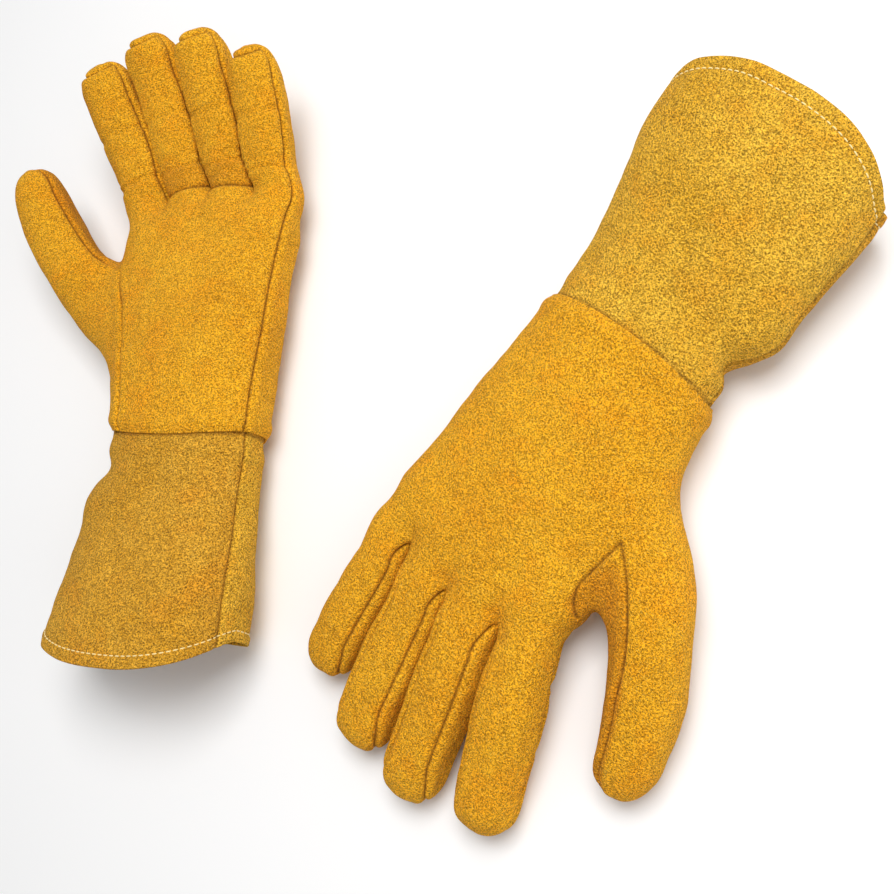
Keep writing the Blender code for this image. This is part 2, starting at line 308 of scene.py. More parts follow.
def spread_limbs():
    """The fingers and the thumb as the skin is made: flat and apart."""
    limbs = {}
    for name, (_, wide, thick, length, lean) in FINGERS.items():
        limbs[name] = Limb(
            finger_base(name), (lean, lean), (0, 0), length, 0.030, (wide, thick), wide * BASE_SHARE, 0.017)
    limbs["thumb"] = Limb(
        (THUMB["x"], THUMB["y"], 0), SPREAD_THUMB_LEAN, (0, 0), THUMB["length"], THUMB_ROOT,
        (THUMB["half_width"], THUMB["half_thickness"]), 0.0220, 0.020)
    return limbs


def glove_field(places, limbs):
    """Below 0 inside the whole glove; the forms flow into each other."""
    fingers = None
    for name in FINGERS:
        field = limbs[name].field(places)
        fingers = field if fingers is None else smooth_min(fingers, field, 0.0012)
    palm = smooth_min(hand_field(places), limbs["thumb"].field(places), 0.007)
    return smooth_min(palm, fingers, 0.008)


def onto_field(places, limbs, rounds=4):
    """Moves places along the field's gradient onto its surface."""
    step = 1e-5
    for _ in range(rounds):
        value = glove_field(places, limbs)
        slope = np.stack(
            [(glove_field(places + step * axis, limbs) - value) / step for axis in np.eye(3)], axis=1)
        size = np.maximum((slope ** 2).sum(1), 0.05)
        move = -(value / size)[:, None] * slope
        far = np.linalg.norm(move, axis=1)
        places = places + move * np.minimum(1, 0.003 / np.maximum(far, 1e-9))[:, None]
    return places


def make_object(name, vertices, faces):
    data = bpy.data.meshes.new(name)
    data.from_pydata([tuple(v) for v in vertices], [], [tuple(f) for f in faces])
    data.polygons.foreach_set("use_smooth", np.ones(len(data.polygons), bool))
    item = bpy.data.objects.new(name, data)
    bpy.context.scene.collection.objects.link(item)
    return item


def coordinates(data):
    out = np.empty(len(data.vertices) * 3)
    data.vertices.foreach_get("co", out)
    return out.reshape(-1, 3)


def spread_skin(limbs):
    """The hand, fingers and thumb as one quad mesh on the glove field, open at the wrist."""
    union = bmesh.new()
    hand_tube(union)
    for limb in limbs.values():
        limb.tube(union)
    data = bpy.data.meshes.new("form")
    union.to_mesh(data)
    union.free()
    form = bpy.data.objects.new("form", data)
    bpy.context.scene.collection.objects.link(form)
    remesh = form.modifiers.new("remesh", "REMESH")
    remesh.mode = "VOXEL"
    remesh.voxel_size = VOXEL
    evaluated = form.evaluated_get(bpy.context.evaluated_depsgraph_get())
    data = bpy.data.meshes.new_from_object(evaluated)
    bpy.data.objects.remove(form)
    skin = bmesh.new()
    skin.from_mesh(data)
    geometry = skin.verts[:] + skin.edges[:] + skin.faces[:]
    bmesh.ops.bisect_plane(
        skin, geom=geometry, dist=1e-6, plane_co=(0, 0, 0), plane_no=(0, -1, 0), clear_outer=True)
    for _ in range(3):
        inner = [v for v in skin.verts if not v.is_boundary]
        bmesh.ops.smooth_vert(
            skin, verts=inner, factor=0.5, use_axis_x=True, use_axis_y=True, use_axis_z=True)
    skin.to_mesh(data)
    skin.free()
    places = coordinates(data)
    rim = places[:, 1] < 1e-5
    places = onto_field(places, limbs)
    places[rim, 1] = 0
    data.vertices.foreach_set("co", places.ravel())
    data.update()
    for _ in range(2):
        places = untangled(data, rim)
        places = onto_field(places, limbs, 2)
        places[rim, 1] = 0
        data.vertices.foreach_set("co", places.ravel())
        data.update()
    return data


def untangled(data, rim):
    """Evens out the vertices round any face that got folded over on its way to the field."""
    skin = bmesh.new()
    skin.from_mesh(data)
    skin.normal_update()
    folded = {f for f in skin.faces if any(f.normal.dot(v.normal) < 0.4 for v in f.verts)}
    near = {v for f in folded for v in f.verts}
    for _ in range(3):
        near |= {e.other_vert(v) for v in near for e in v.link_edges}
    near = [v for v in near if not rim[v.index]]
    for _ in range(6):
        bmesh.ops.smooth_vert(skin, verts=near, factor=0.5, use_axis_x=True, use_axis_y=True, use_axis_z=True)
    places = np.array([tuple(v.co) for v in skin.verts])
    skin.free()
    return places


def subdivide_near(data, lines, reach):
    """Splits the faces near the seams once, so that the stitched grooves come out crisp."""
    near = distance_to(lines, coordinates(data)) < reach
    skin = bmesh.new()
    skin.from_mesh(data)
    skin.verts.ensure_lookup_table()
    edges = [e for e in skin.edges if near[e.verts[0].index] and near[e.verts[1].index]]
    bmesh.ops.subdivide_edges(skin, edges=edges, cuts=1, use_grid_fill=True)
    skin.to_mesh(data)
    skin.free()


# ---- seams ----
def even(points, step=0.0006):
    """Points at even steps along a rounded polyline."""
    points = np.array(points, float)
    length = np.concatenate(([0], np.cumsum(np.linalg.norm(np.diff(points, axis=0), axis=1))))
    where = np.linspace(0, length[-1], int(length[-1] / step) + 2)
    line = np.stack([np.interp(where, length, part) for part in points.T], axis=1)
    for _ in range(30):
        line[1:-1] = (line[:-2] + 2 * line[1:-1] + line[2:]) / 4
    return line


def dropped(points, sign, limbs):
    """Carries a polyline of (x, y) straight up (1) or down (-1) onto the glove's surface."""
    flat = even(points)
    low, high = np.zeros(len(flat)), np.full(len(flat), 0.045)
    for _ in range(18):
        middle = (low + high) / 2
        inside = glove_field(np.column_stack((flat, sign * middle)), limbs) < 0
        low, high = np.where(inside, middle, low), np.where(inside, high, middle)
    return np.column_stack((flat, sign * low))


def limb_line(limb, stops):
    """A line along a limb through (distance along, angle round in degrees) stops."""
    s, angle = even([(s, math.radians(angle) * 0.015) for s, angle in stops]).T
    s, angle = np.minimum(s, limb.length - 0.0002), angle / 0.015
    wide, thick = limb.widths_at(s)
    end = np.maximum(s - (limb.length - limb.end_round), 0) / limb.end_round
    shrink = np.maximum(1 - end ** TIP_ROUND, 0) ** (1 / FINGER_ROUND)
    x, z = rounded(angle, FINGER_ROUND)
    return limb.place(s, x * wide * shrink, z * thick * shrink)


def seam_lines(limbs):
    """The sewn seams and the faint ones, as two clouds of points on the spread glove."""
    sewn = []
    for name, sides in (("index", (1,)), ("middle", (-1, 1)), ("ring", (-1, 1)), ("little", (-1,))):
        limb = limbs[name]
        end = limb.length
        for side in sides:
            for turn in (38 if name == "index" else 50, -27):
                angle, middle = (turn, 0) if side > 0 else (180 - turn, 180)
                sewn.append(limb_line(limb, (
                    (0.006, mix(middle, angle, 0.2)), (0.022, angle), (end - 0.022, angle),
                    (end - 0.007, mix(middle, angle, 0.55)), (end - 0.003, middle))))
        sewn.append(limb_line(limb, ((end - 0.003, 0), (end - 0.0033, -60), (end - 0.0033, -120),
                                     (end - 0.003, -180))))
    end = limbs["index"].length
    sewn.append(limb_line(limbs["index"], ((-0.020, 188), (0.01, 190), (end - 0.02, 186), (end, 180))))
    end = limbs["little"].length
    outer = limb_line(limbs["little"], ((0.008, -22), (0.02, -24), (end - 0.02, -20), (end, 0)))
    y = np.linspace(0.0, 0.112, 60)
    centre, wide, thick = hand_at(y)
    angle = np.radians(-22)
    side = np.column_stack((
        centre + wide * np.cos(angle) ** (2 / HAND_ROUND), y,
        -thick * np.sin(-angle) ** (2 / HAND_ROUND)))
    side = onto_field(side, limbs)
    sewn += [outer, onto_field(even(np.concatenate((side, outer[:1]))), limbs)]
    thumb = limbs["thumb"]
    end = thumb.length
    sewn.append(limb_line(thumb, ((0.014, -30), (0.04, -26), (end - 0.02, -26), (end, -10))))
    back = limb_line(thumb, ((-0.001, 84), (0.0205, 78), (0.046, 70), (0.066, 60), (end - 0.015, 58),
                             (end - 0.002, 50)))
    sewn.append(dropped(back[:, :2], 1, limbs))
    sewn.append(dropped(((-0.0535, 0.090), (-0.049, 0.080), (-0.043, 0.068), (-0.040, 0.056),
                         (-0.0365, 0.038), (-0.032, 0.020), (-0.029, 0.0005)), -1, limbs))
    for name in ("middle", "ring"):
        across = limb_line(limbs[name], ((0.0125, -172), (0.0105, -130), (0.0105, -50), (0.0125, -8)))
        sewn.append(onto_field(across, limbs))
    sewn.append(dropped((*WEB, (-0.0555, 0.1035), (-0.0610, 0.1095)), 1, limbs))
    faint = [
        dropped(((-0.0545, 0.069), (-0.050, 0.050), (-0.0475, 0.025), (-0.046, 0.0005)), 1, limbs),
    ]
    return on_skin(np.concatenate(sewn), limbs), on_skin(np.concatenate(faint), limbs)


def on_skin(points, limbs):
    """Only the points that lie on the glove's surface, not buried where two forms join."""
    return points[np.abs(glove_field(points, limbs)) < 0.0005]


def distance_to(lines, places):
    """From each place to the nearest of the lines' points."""
    tree = KDTree(len(lines))
    for i, point in enumerate(lines):
        tree.insert(point, i)
    tree.balance()
    return np.array([tree.find(place)[2] for place in places])


# ---- one glove's leather ----
def regions(places, limbs):
    """Which limb each vertex belongs to (0 is the hand), its distance along it, and how far it follows."""
    names = list(limbs)
    fields = np.stack([limbs[name].field(places) for name in names])
    along = np.stack([limbs[name].coords(places)[0] for name in names])
    nearest = fields.argmin(axis=0)
    each = np.arange(len(places))
    s = along[nearest, each]
    thumb = nearest == names.index("thumb")
    clear = hand_field(places) - fields[names.index("thumb")]
    ahead = unit(np.array((-math.sin(math.radians(SPREAD_THUMB_LEAN[0])),
                           math.cos(math.radians(SPREAD_THUMB_LEAN[0])), 0)))
    past = (places - np.array((THUMB["x"], THUMB["y"], 0))) @ ahead
    belongs = np.where(thumb, (past > THUMB_CUT) & (clear > 0), s > CUT)
    follow = np.where(
        thumb, smooth((s - THUMB_CUT) / 0.03) * smooth(clear / 0.006), smooth((s - CUT) / (BEND_END - CUT)))
    label = np.where(belongs, nearest + 1, 0)
    return label, s, np.where(belongs, follow, 0.0)


def height(y, spec):
    """How high the hand's middle stands above the surface, from the wrist to the knuckles."""
    return mix(WRIST_HEIGHT, spec["knuckle_height"], smooth(y / KNUCKLE_Y))


def wrist_bow(x):
    """How much further the hand leather reaches over the cuff in the middle than at its sides."""
    return 0.005 * (1 - np.minimum(np.abs(x) / 0.049, 1) ** 2)


def posed_limbs(spec):
    """The fingers and the thumb as one glove holds them."""
    limbs = {}
    for name, (_, wide, thick, length, _) in FINGERS.items():
        lean = spec["lean"][name]
        x, y, _ = finger_base(name)
        limbs[name] = Limb(
            (x, y, spec["side"] * spec["knuckle_height"]), (lean, lean), spec["curl"], length, 0.030,
            (wide, thick), wide * BASE_SHARE, 0.017)
    limbs["thumb"] = Limb(
        (THUMB["x"], THUMB["y"], spec["side"] * height(THUMB["y"], spec)), spec["thumb_lean"],
        spec["thumb_curl"], THUMB["length"], THUMB_ROOT,
        (THUMB["half_width"], THUMB["half_thickness"]), 0.0220, 0.020)
    return limbs


def lifted(places, spec):
    """Places of the flat hand, raised to stand on the surface."""
    out = places.copy()
    out[:, 2] += spec["side"] * height(np.maximum(places[:, 1], 0), spec)
    return out


def part_fingers(places, label, s, limbs):
    """Presses touching fingers flat against each other, half the overlap each."""
    order = ["index", "middle", "ring", "little"]
    names = list(limbs)
    for _ in range(2):
        moved = places.copy()
        for first, second in zip(order, order[1:]):
            for mine, other in ((first, second), (second, first)):
                pick = np.nonzero((label == names.index(mine) + 1) & (s > 0.010))[0]
                value = limbs[other].field(places[pick])
                pick, value = pick[value < 0.0004], value[value < 0.0004]
                if not len(pick):
                    continue
                step = 1e-5
                slope = np.stack([
                    (limbs[other].field(places[pick] + step * axis) - value) / step
                    for axis in np.eye(3)], axis=1)
                push = (0.0004 - value) * 0.55 * smooth((s[pick] - 0.010) / 0.012)
                moved[pick] += unit(slope) * push[:, None]
        places = moved
    return places


def on_floor(places, least=0.0004):
    """World places, pressed flat where they would sink into the surface."""
    out = places.copy()
    out[:, 2] = -smooth_min(-places[:, 2], np.full(len(places), -least), 0.004)
    return out


def to_world(places, spec):
    """Places of a glove's own frame, mirrored, turned and moved to where the glove lies."""
    out = places * np.array((1, 1, spec["side"]))
    turn = math.radians(spec["turn"])
    x = out[:, 0] * math.cos(turn) - out[:, 1] * math.sin(turn) + spec["place"][0]
    y = out[:, 0] * math.sin(turn) + out[:, 1] * math.cos(turn) + spec["place"][1]
    return np.column_stack((x, y, out[:, 2]))


def dress(places, normals, distance, faint, label, s, seed):
    """Moves the spread skin along its normals: stitched grooves, puffed edges, creases and soft lumps."""
    groove = bell(distance, 0.0009)
    puff = bell(distance - 0.0036, 0.0026)
    move = -0.0014 * groove + 0.0008 * puff
    move -= 0.0005 * bell(faint, 0.0010)
    move += 0.0009 * lump(places, 0.030, seed) + 0.00028 * lump(places, 0.010, seed + 3)
    palm = smooth(-normals[:, 2] * 1.6)
    finger = (label > 0) & (label < 5)
    for at, depth, spread in ((0.0265, 0.0016, 0.0020), (0.0315, 0.0009, 0.0018), (0.058, 0.0010, 0.0022)):
        wave = s + 0.0015 * lump(places, 0.008, seed + 5, 1)
        move -= np.where(finger, depth * palm * bell(wave - at, spread), 0)
    edge = np.maximum(places[:, 1], 0)
    move += np.where(label == 0, 0.0009 * bell(edge - 0.0055, 0.0035), 0)
    move -= np.where(label == 0, 0.0012 * bell(edge, 0.0022), 0)
    return places + normals * move[:, None]


def darker_panel_and_painted_shade(places, normals, limbs, label, s):
    """How much darker the skin is, from 0 to 1.

    The thumb's inner piece is darker, and the palm side of the middle and ring fingers from their base seam
    up to their first crease is darkened as painted shade below that crease.
    """
    along, x, z = limbs["thumb"].coords(places)
    angle = np.degrees(np.arctan2(z, x))
    leg = unit(WEB[1] - WEB[0])
    beyond = (places[:, :2] - WEB[0]) @ np.array((-leg[1], leg[0]))
    inner = smooth((angle + 30) / 6) * smooth((72 - angle) / 8) * smooth(beyond / 0.0012)
    inner = inner * smooth((0.014 - limbs["thumb"].field(places)) / 0.006) * smooth(along / 0.01)
    # painted shade: the palm side of the middle and ring fingers, between their base seam and first crease
    painted_crease_shade = ((label == 2) | (label == 3)) * smooth((s - 0.0105) / 0.001) * smooth((0.0285 - s) / 0.004)
    return np.maximum(inner, 0.55 * painted_crease_shade * smooth(-normals[:, 2] * 1.6))


def object_from(name, vertices, faces, normals=None, **attributes):
    """An object with its values stored on the points, and with given normals where it meets another piece."""
    item = make_object(name, vertices, faces)
    data = item.data
    for key, values in attributes.items():
        values = np.asarray(values, np.float32)
        kind = "FLOAT_VECTOR" if values.ndim == 2 else "FLOAT"
        layer = data.attributes.new(key, kind, "POINT")
        layer.data.foreach_set("vector" if values.ndim == 2 else "value", values.ravel())
    if normals is not None:
        data.normals_split_custom_set_from_vertices([tuple(n) for n in normals])
    return item


def vertex_normals(data):
    out = np.empty(len(data.vertices) * 3)
    data.vertex_normals.foreach_get("vector", out)
    return out.reshape(-1, 3)


def wrist_lip(places, rim, normals):
    """Rings that turn the hand's edge in under itself: the leather's cut edge and its inner face."""
    centre = places[rim].mean(axis=0)
    order = rim[np.argsort(np.arctan2(places[rim, 2] - centre[2], places[rim, 0] - centre[0]))]
    inward = -unit(normals[order] * np.array((1, 0, 1)))
    base = places[order]
    rings = []
    for reach, back in WRIST_LIP:
        rings.append(base + inward * reach + np.array((0, back, 0)))
    return order, rings


def shell(rows, thickness, tip=False):
    """Vertices and faces of a closed sleeve: rows of points are its outer face, the first row its mouth."""
    rows = np.array(rows)
    count, around = rows.shape[:2]
    across = np.roll(rows, -1, axis=1) - np.roll(rows, 1, axis=1)
    ahead = np.gradient(rows, axis=0)
    normal = unit(np.cross(across, ahead))
    if (normal * (rows - rows.mean(axis=1, keepdims=True))).sum() < 0:
        normal = -normal
    inner = rows - normal * thickness
    lip = (rows[0] + inner[0]) / 2 - unit(ahead[0]) * thickness * 0.35
    tail = (rows[-1] + inner[-1]) / 2 + unit(ahead[-1]) * thickness * 0.35
    grid = [inner[k] for k in range(count - 1, -1, -1)] + [lip] + list(rows)
    if not tip:
        grid.append(tail)
    vertices = np.concatenate(grid)
    faces = []
    last = len(grid)
    for k in range(last - 1 if tip else last):
        low, high = k * around, ((k + 1) % last) * around
        for i in range(around):
            j = (i + 1) % around
            faces.append((low + i, low + j, high + j, high + i))
    if tip:
        faces.append(tuple(range(around - 1, -1, -1)))
        faces.append(tuple((last - 1) * around + i for i in range(around)))
    return vertices, faces


def facing_out(vertices, faces):
    """The faces, turned round if the closed body they make is inside out."""
    volume = 0.0
    for face in faces:
        a = vertices[face[0]]
        for i in range(1, len(face) - 1):
            volume += a @ np.cross(vertices[face[i]], vertices[face[i + 1]])
    return faces if volume > 0 else [tuple(reversed(face)) for face in faces]


# ---- cuff ----
def cuff_place(angle, t, spec, seed):
    """Points of the cuff's face: angle round it, and t from its lap inside the hand (0) to the hem (1)."""
    y = mix(CUFF_LAP, -CUFF_LENGTH, t)
    u = np.clip((-0.004 - y) / (CUFF_LENGTH - 0.004), 0, 1)
    flare = smooth(u) * 0.6 + u * 0.4
    wide, thick = mix(CUFF_WRIST[0], HEM[0], flare), mix(CUFF_WRIST[1], HEM[1], flare)
    lift = mix(WRIST_HEIGHT, thick * 0.979, smooth(u / 0.3))
    x, z = rounded(angle, HAND_ROUND)
    above = 1 + 0.5 * np.sin(angle) * spec["side"]
    drop = HEM_DROP * (0.42 + 0.58 * np.abs(np.sin(angle)) ** 1.1) * above
    y = np.where(y > 0, y, y * (1 + drop / CUFF_LENGTH))
    out = np.stack((CUFF_X + x * wide, y, spec["side"] * lift + z * thick), axis=-1)
    ring = np.arctan2(np.sin(angle), np.cos(angle))
    grown = smooth(u / 0.12)
    near = seam_gap(ring)
    move = -0.0011 * bell(near, 0.0011) + 0.0006 * bell(near - 0.0036, 0.0024)
    flat, shape = out.reshape(-1, 3), angle.shape
    move = move + grown * 0.0034 * lump(flat, 0.05, seed, 2).reshape(shape)
    move = move + grown * 0.0005 * lump(flat, 0.014, seed + 2, 2).reshape(shape)
    # the deep fold and the swell below it on the thumb's side, and the ridge under the hand leather
    thumb_side = bell(math.pi - np.abs(ring), 0.75)
    tuck = y + 0.019 + 0.006 * np.sin(ring) * spec["side"]
    move = move - 0.0074 * thumb_side * bell(tuck, 0.0075)
    move = move + 0.0040 * thumb_side * bell(tuck + 0.020, 0.011)
    move = move + 0.0006 * bell(y + 0.0110, 0.0040)
    # the hollow along the little finger's seam
    move = move - grown * 0.0022 * bell(ring - CUFF_SEAM, 0.22) * smooth((u - 0.05) / 0.2)
    # the hem's swollen edge and the groove its stitches lie in
    edge = (1 - t) * (CUFF_LENGTH + CUFF_LAP)
    move = move + 0.0005 * bell(edge - 0.003, 0.002)
    move = move - 0.0006 * bell(edge - HEM_STITCH, 0.0009)
    away = np.stack((np.cos(angle) / HEM[0], 0 * angle, np.sin(angle) / HEM[1]), axis=-1)
    return out + unit(away) * move[..., None]


def seam_gap(ring):
    """Distance round the cuff to the nearer side seam; the little finger's side one sits towards the palm."""
    return np.minimum(np.abs(ring - CUFF_SEAM), math.pi - np.abs(ring)) * 0.045


def cuff_grid(spec, seed):
    angle = np.linspace(0, 2 * math.pi, CUFF_AROUND, endpoint=False)
    t = np.concatenate((np.linspace(0, 0.9, CUFF_ROWS), np.linspace(0.9, 1, CUFF_ROWS // 3)[1:]))
    return cuff_place(*np.meshgrid(angle, t), spec, seed), angle, t


def capsule(start, end, out, radius):
    """One stitch: a rounded thread between two points, pressed to the leather."""
    sides = 6
    start, end = Vector(start), Vector(end)
    ahead = (end - start).normalized()
    up = Vector(out).normalized()
    side = ahead.cross(up)
    vertices, faces = [], []
    for share, size, sink in ((0, 0.35, -0.5), (0.12, 0.85, 0.1), (0.35, 1, 0.5), (0.65, 1, 0.5),
                              (0.88, 0.85, 0.1), (1, 0.35, -0.5)):
        middle = start.lerp(end, share) + up * radius * sink
        for i in range(sides):
            turn = 2 * math.pi * i / sides
            vertices.append(middle + (side * math.cos(turn) + up * math.sin(turn)) * radius * size)
    for k in range(5):
        for i in range(sides):
            j = (i + 1) % sides
            faces.append((k * sides + i, k * sides + j, (k + 1) * sides + j, (k + 1) * sides + i))
    faces.append(tuple(range(sides - 1, -1, -1)))
    faces.append(tuple(5 * sides + i for i in range(sides)))
    return vertices, faces


def hem_stitches(spec, seed):
    """Both rows of the hem's lockstitch, outside and inside, as separate short threads."""
    t = 1 - HEM_STITCH / (CUFF_LENGTH + CUFF_LAP)
    angle = np.linspace(0, 2 * math.pi, 2000)
    line = cuff_place(angle, np.full(2000, t), spec, seed)
    below = cuff_place(angle, np.full(2000, t - 0.01), spec, seed)
    out = unit(np.cross(np.gradient(line, axis=0), line - below))
    centre = line.mean(axis=0)
    if (out * (line - centre)).sum() < 0:
        out = -out
    length = np.concatenate(([0], np.cumsum(np.linalg.norm(np.diff(line, axis=0), axis=1))))
    count = int(length[-1] / STITCH)
    vertices, faces = [], []
    for k in range(count):
        ends = np.array((k + 0.12, k + 0.88)) * length[-1] / count
        for face in (1, -1):
            at = [np.array([np.interp(e, length, part) for part in line.T]) for e in ends]
            up = np.array([np.interp(ends.mean(), length, part) for part in out.T]) * face
            if face < 0:
                at = [point + up * LEATHER for point in at]
            new, shape = capsule(at[0], at[1], up, 0.00036)
            faces += [tuple(len(vertices) + i for i in face_) for face_ in shape]
            vertices += new
    return np.array([tuple(v) for v in vertices]), faces


# ---- the gloves ----
def build_glove(hand, spec, skin, limbs, near, faint, label, s, follow):
    """One glove: the dressed skin laid along the posed limbs and cut by body, its linings and its cuff."""
    side = spec["side"]
    seed = 1 if side > 0 else 7
    names = list(limbs)
    posed = posed_limbs(spec)
    spread = coordinates(skin)
    rest = spread + np.array((0.0, 0.0, 0.5 * (side < 0)))
    full = dress(spread, vertex_normals(skin), near, faint, label, s, seed)
    placed = lifted(full, spec)
    for index, name in enumerate(names):
        pick = np.nonzero(label == index + 1)[0]
        along, x, z = limbs[name].coords(full[pick])
        share = follow[pick][:, None]
        placed[pick] = mix(placed[pick], posed[name].place(along, x, z), share)
    placed = part_fingers(placed, label, s, posed)
    placed[:, 1] -= wrist_bow(spread[:, 0]) * smooth(1 - spread[:, 1] / 0.035) * (label == 0)
    world = on_floor(to_world(placed, spec))
    faces = [tuple(p.vertices) for p in skin.polygons]
    if side < 0:
        faces = [tuple(reversed(face)) for face in faces]
    whole = make_object("whole", world, faces)
    normals = vertex_normals(whole.data).copy()
    bpy.data.objects.remove(whole)
    # darkening along the sewn seams and the faint line: partly the seams' own dark line, partly painted shade
    # in their grooves
    seam = bell(near, 0.00075) + 0.35 * bell(faint, 0.0009)
    dark = darker_panel_and_painted_shade(spread, vertex_normals(skin), limbs, label, s)
    corner_labels = [label[list(face)] for face in faces]
    owner = np.array([c[0] if (c == c[0]).all() else c.min() for c in corner_labels])
    uses = [set() for _ in range(len(world))]
    for face, region in zip(faces, owner):
        for v in face:
            uses[v].add(region)
    shared = np.array([len(u) > 1 for u in uses])
    for region in range(len(names) + 1):
        chosen = [face for face, region_of in zip(faces, owner) if region_of == region]
        index = np.unique(np.concatenate([np.array(face) for face in chosen]))
        lookup = {v: i for i, v in enumerate(index)}
        local = [tuple(lookup[v] for v in face) for face in chosen]
        fields = {"rest": rest[index], "seam": seam[index], "dark": dark[index]}
        vertices, piece_normals = world[index], normals[index]
        if region == 0:
            rim = np.nonzero(spread[:, 1] < 1e-5)[0]
            own = placed.copy()
            order, rings = wrist_lip(own, rim, vertex_normals(skin))
            start = len(vertices)
            # the lip turned in under the hand leather's edge gets seam darkness 0.5 as painted shade under
            # that edge
            lip = {"rest": rest[order], "seam": np.full(len(order), 0.5), "dark": np.zeros(len(order))}
            for ring in rings:
                vertices = np.concatenate((vertices, on_floor(to_world(ring, spec), 0.0008)))
                fields = {key: np.concatenate((values, lip[key])) for key, values in fields.items()}
            levels = [[lookup[v] for v in order]] + [
                range(start + k * len(order), start + (k + 1) * len(order)) for k in range(len(rings))]
            for low, high in zip(levels, levels[1:]):
                for i in range(len(order)):
                    j = (i + 1) % len(order)
                    face = (low[i], low[j], high[j], high[i])
                    local.append(face if side > 0 else tuple(reversed(face)))
            piece_normals = None
        name = "hand" if region == 0 else names[region - 1]
        item = object_from(f"{hand}_{name}_leather", vertices, local, piece_normals, **fields)
        item.data.materials.append(materials["hand_leather"])
        if region == 0:
            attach(item, f"{hand}_hand")
            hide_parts(f"{hand}_hand_back_panel", f"{hand}_palm_panel")
            continue
        limb = posed[name]
        base = to_world(limb.place(np.zeros(1), np.zeros(1), np.zeros(1)), spec)[0]
        reach = (THUMB_CUT + 0.028) if name == "thumb" else BEND_END
        ahead = to_world(limb.place(np.array([reach]), np.zeros(1), np.zeros(1)), spec)[0] - base
        ahead = ahead / np.linalg.norm(ahead)
        held = shared[index]
        first = float(((world[index][held] - base) @ ahead).max()) + 0.0003
        blends[f"{hand}_{name}"] = (base + ahead * first, base + ahead * (first + reach - CUT))
        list(blends[f"{hand}_{name}"])
        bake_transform(item)
        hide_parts(*[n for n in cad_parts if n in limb_nodes(hand, name)])
    build_linings(hand, spec, posed, names)
    build_cuff(hand, spec, seed)


def limb_nodes(hand, name):
    """The leather nodes a finger or thumb may have."""
    ends = ("back", "front", "fourchette", "fourchette_inner", "fourchette_outer")
    return [f"{hand}_{name}_{end}" for end in ends]


def build_linings(hand, spec, posed, names):
    rows = []
    for y in np.linspace(0.012, 0.118, 22):
        x, z = hand_ring(y, LINING_INSET, 56)
        rows.append(lifted(np.column_stack((x, np.full(56, y), z)), spec))
    add_lining(hand, "hand", spec, rows, False, (f"{hand}_hand_back_lining", f"{hand}_palm_lining"))
    for name in names:
        limb = posed[name]
        start = 0.020 if name == "thumb" else 0.004
        rows = [limb.ring(s, LINING_INSET + 0.001, 0.05) for s in np.linspace(start, limb.length - 0.004, 26)]
        add_lining(hand, name, spec, rows, True, (f"{hand}_{name}_lining",))


def add_lining(hand, name, spec, rows, tip, nodes):
    vertices, faces = shell(rows, 0.0010, tip)
    world = on_floor(to_world(vertices, spec), 0.0022)
    item = object_from(f"{hand}_{name}_lining_cloth", world, facing_out(world, faces), rest=vertices)
    item.data.materials.append(materials["lining"])
    if name == "hand":
        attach(item, f"{hand}_hand")
    else:
        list(blends[f"{hand}_{name}"])
        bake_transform(item)
    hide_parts(*nodes)


def build_cuff(hand, spec, seed):
    """The cuff's leather sleeve and the hem's stitches."""
    rows, angle, t = cuff_grid(spec, seed)
    vertices, faces = shell(rows[::-1], LEATHER)
    world = on_floor(to_world(vertices, spec))
    ring = np.arctan2(np.sin(angle), np.cos(angle))
    near = seam_gap(ring)
    # the side seams' lines and the hem's stitch groove are darkened: partly seam colour, partly painted shade
    # in their grooves
    line = bell(near, 0.0009)
    grooved = (1 - t[::-1]) * (CUFF_LENGTH + CUFF_LAP)
    hem = 0.15 * bell(grooved - HEM_STITCH, 0.0010)
    face = np.maximum(line[None, :], hem[:, None])
    lips = np.full((1, len(angle)), 0.1)
    seam = np.concatenate((face[::-1] * 0.4, lips, face, lips)).ravel()
    # painted shadow: a dark line on the cuff just below the hand leather's edge
    tucked = vertices[:, 1] + wrist_bow(vertices[:, 0]) + 0.0010
    seam = np.maximum(seam, 0.9 * bell(tucked, 0.0013))
    dark = np.tile(np.where(ring < CUFF_SEAM, FRONT_DARK, 0.0), len(vertices) // len(ring))
    rest = vertices + np.array((0.3, 0.0, 0.5 * (spec["side"] < 0)))
    item = object_from(
        f"{hand}_cuff_leather", world, facing_out(world, faces), rest=rest, seam=seam, dark=dark)
    item.data.materials.append(materials["cuff_leather"])
    ends = to_world(np.array(((CUFF_X, -0.006, 0.0), (CUFF_X, -0.034, 0.0))), spec)
    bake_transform(item)
    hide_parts(f"{hand}_cuff_back", f"{hand}_cuff_front")
    vertices, faces = hem_stitches(spec, seed)
    world = on_floor(to_world(vertices, spec), 0.0002)
    if spec["side"] < 0:
        faces = [tuple(reversed(f)) for f in faces]
    item = object_from(f"{hand}_hem_stitches", world, faces)
    item.data.materials.append(materials["thread"])
    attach(item, f"{hand}_cuff")
    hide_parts(f"{hand}_hem_thread")


